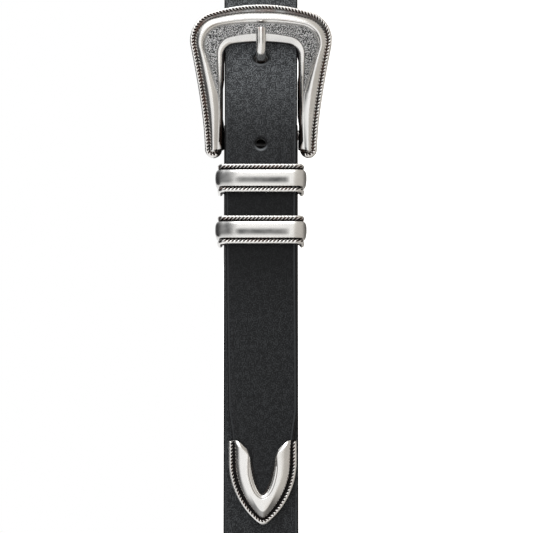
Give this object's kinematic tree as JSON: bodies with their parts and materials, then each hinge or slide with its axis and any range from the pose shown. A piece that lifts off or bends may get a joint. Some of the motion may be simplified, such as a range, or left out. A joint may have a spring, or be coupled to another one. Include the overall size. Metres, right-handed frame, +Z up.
{
  "type": "western belt",
  "caption": "Black leather belt fastened into a loop, with a cast silver horseshoe buckle, its prong, rope-edged metal keepers and a notched metal tip, standing on its lower edge.",
  "frame": {"origin": "middle of the footprint's bounding box, at the height of the surface the belt stands on", "axes": "+Z up, the belt standing on its lower edge; +X along the front from the metal tip towards the buckle; +Y from the front towards the back of the loop, so the buckle faces -Y"},
  "size_m": [0.3478, 0.2176, 0.0614],
  "materials": {
    "black_leather": "matte",
    "antique_silver": "polished"
  },
  "bodies": {
    "root": {"strap": "black_leather", "buckle_frame": "antique_silver", "prong": "antique_silver", "keeper_1": "antique_silver", "keeper_2": "antique_silver", "tip": "antique_silver"}
  },
  "joints": []
}
